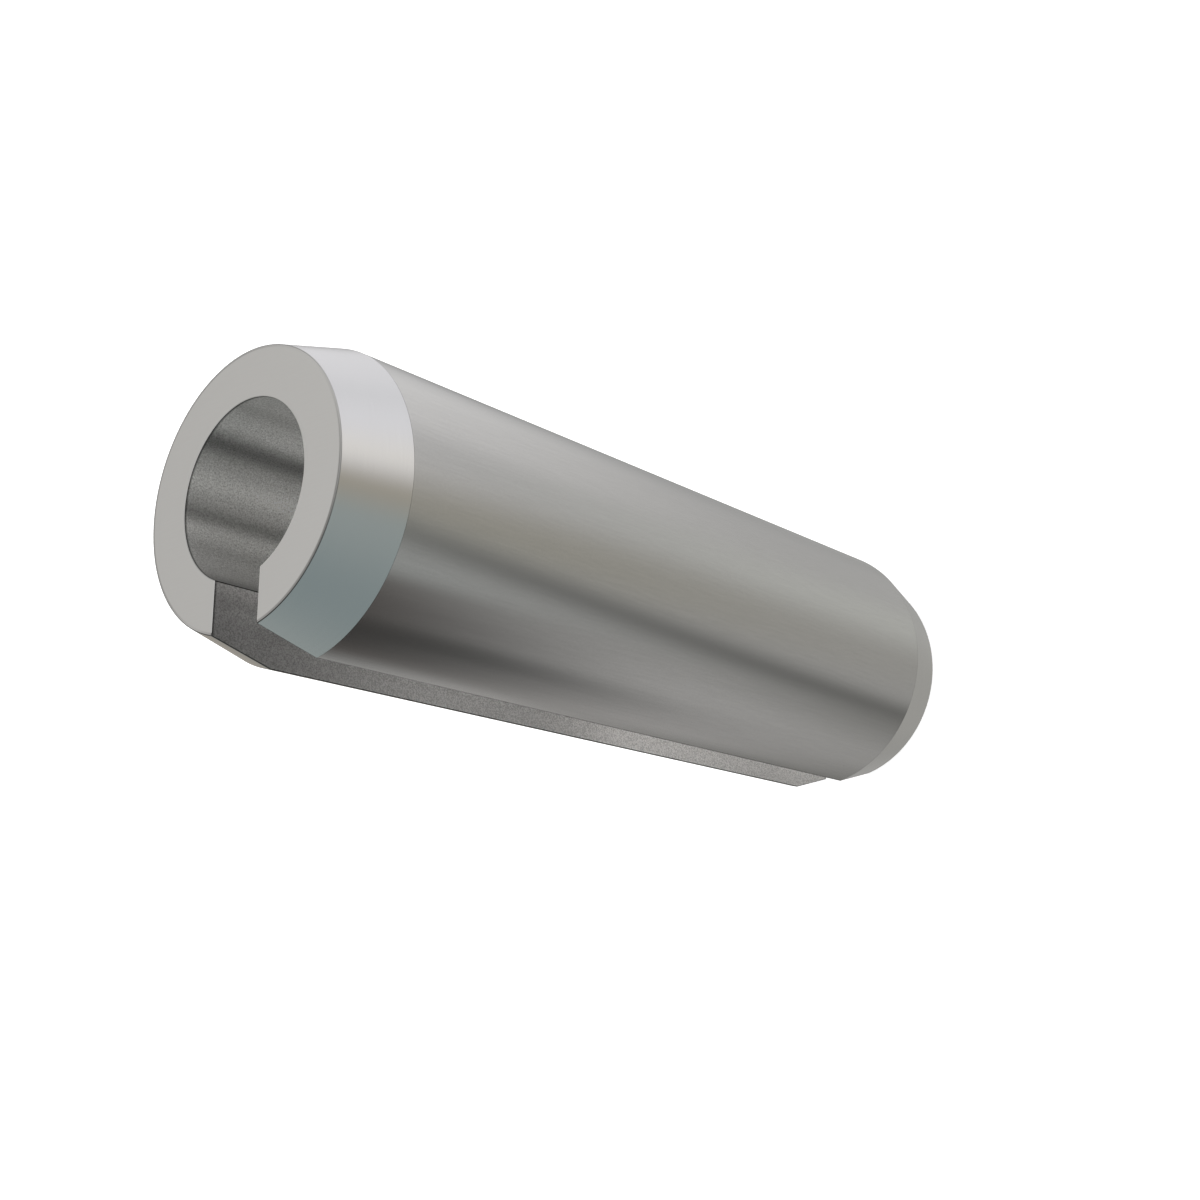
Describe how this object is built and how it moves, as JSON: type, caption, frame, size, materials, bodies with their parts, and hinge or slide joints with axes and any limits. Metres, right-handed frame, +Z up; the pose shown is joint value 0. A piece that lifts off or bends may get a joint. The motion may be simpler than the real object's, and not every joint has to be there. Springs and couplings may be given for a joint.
{
  "type": "slotted spring pin",
  "caption": "Slotted spring pin: a thick-walled steel sleeve, open along one side by a parallel slot, with a lead-in taper at each end.",
  "frame": {"origin": "on the pin's axis, at the lower end face", "axes": "+Z up along the pin's axis, -Y out through the middle of the slot, +X to the right of it"},
  "size_m": [0.0125, 0.0123, 0.04],
  "materials": {
    "spring_steel": "bare hardened steel: drawn satin outside, finely turned tapers and end faces, duller grey bore and slot walls"
  },
  "bodies": {
    "root": {"slotted_pin": "spring_steel"}
  },
  "joints": []
}
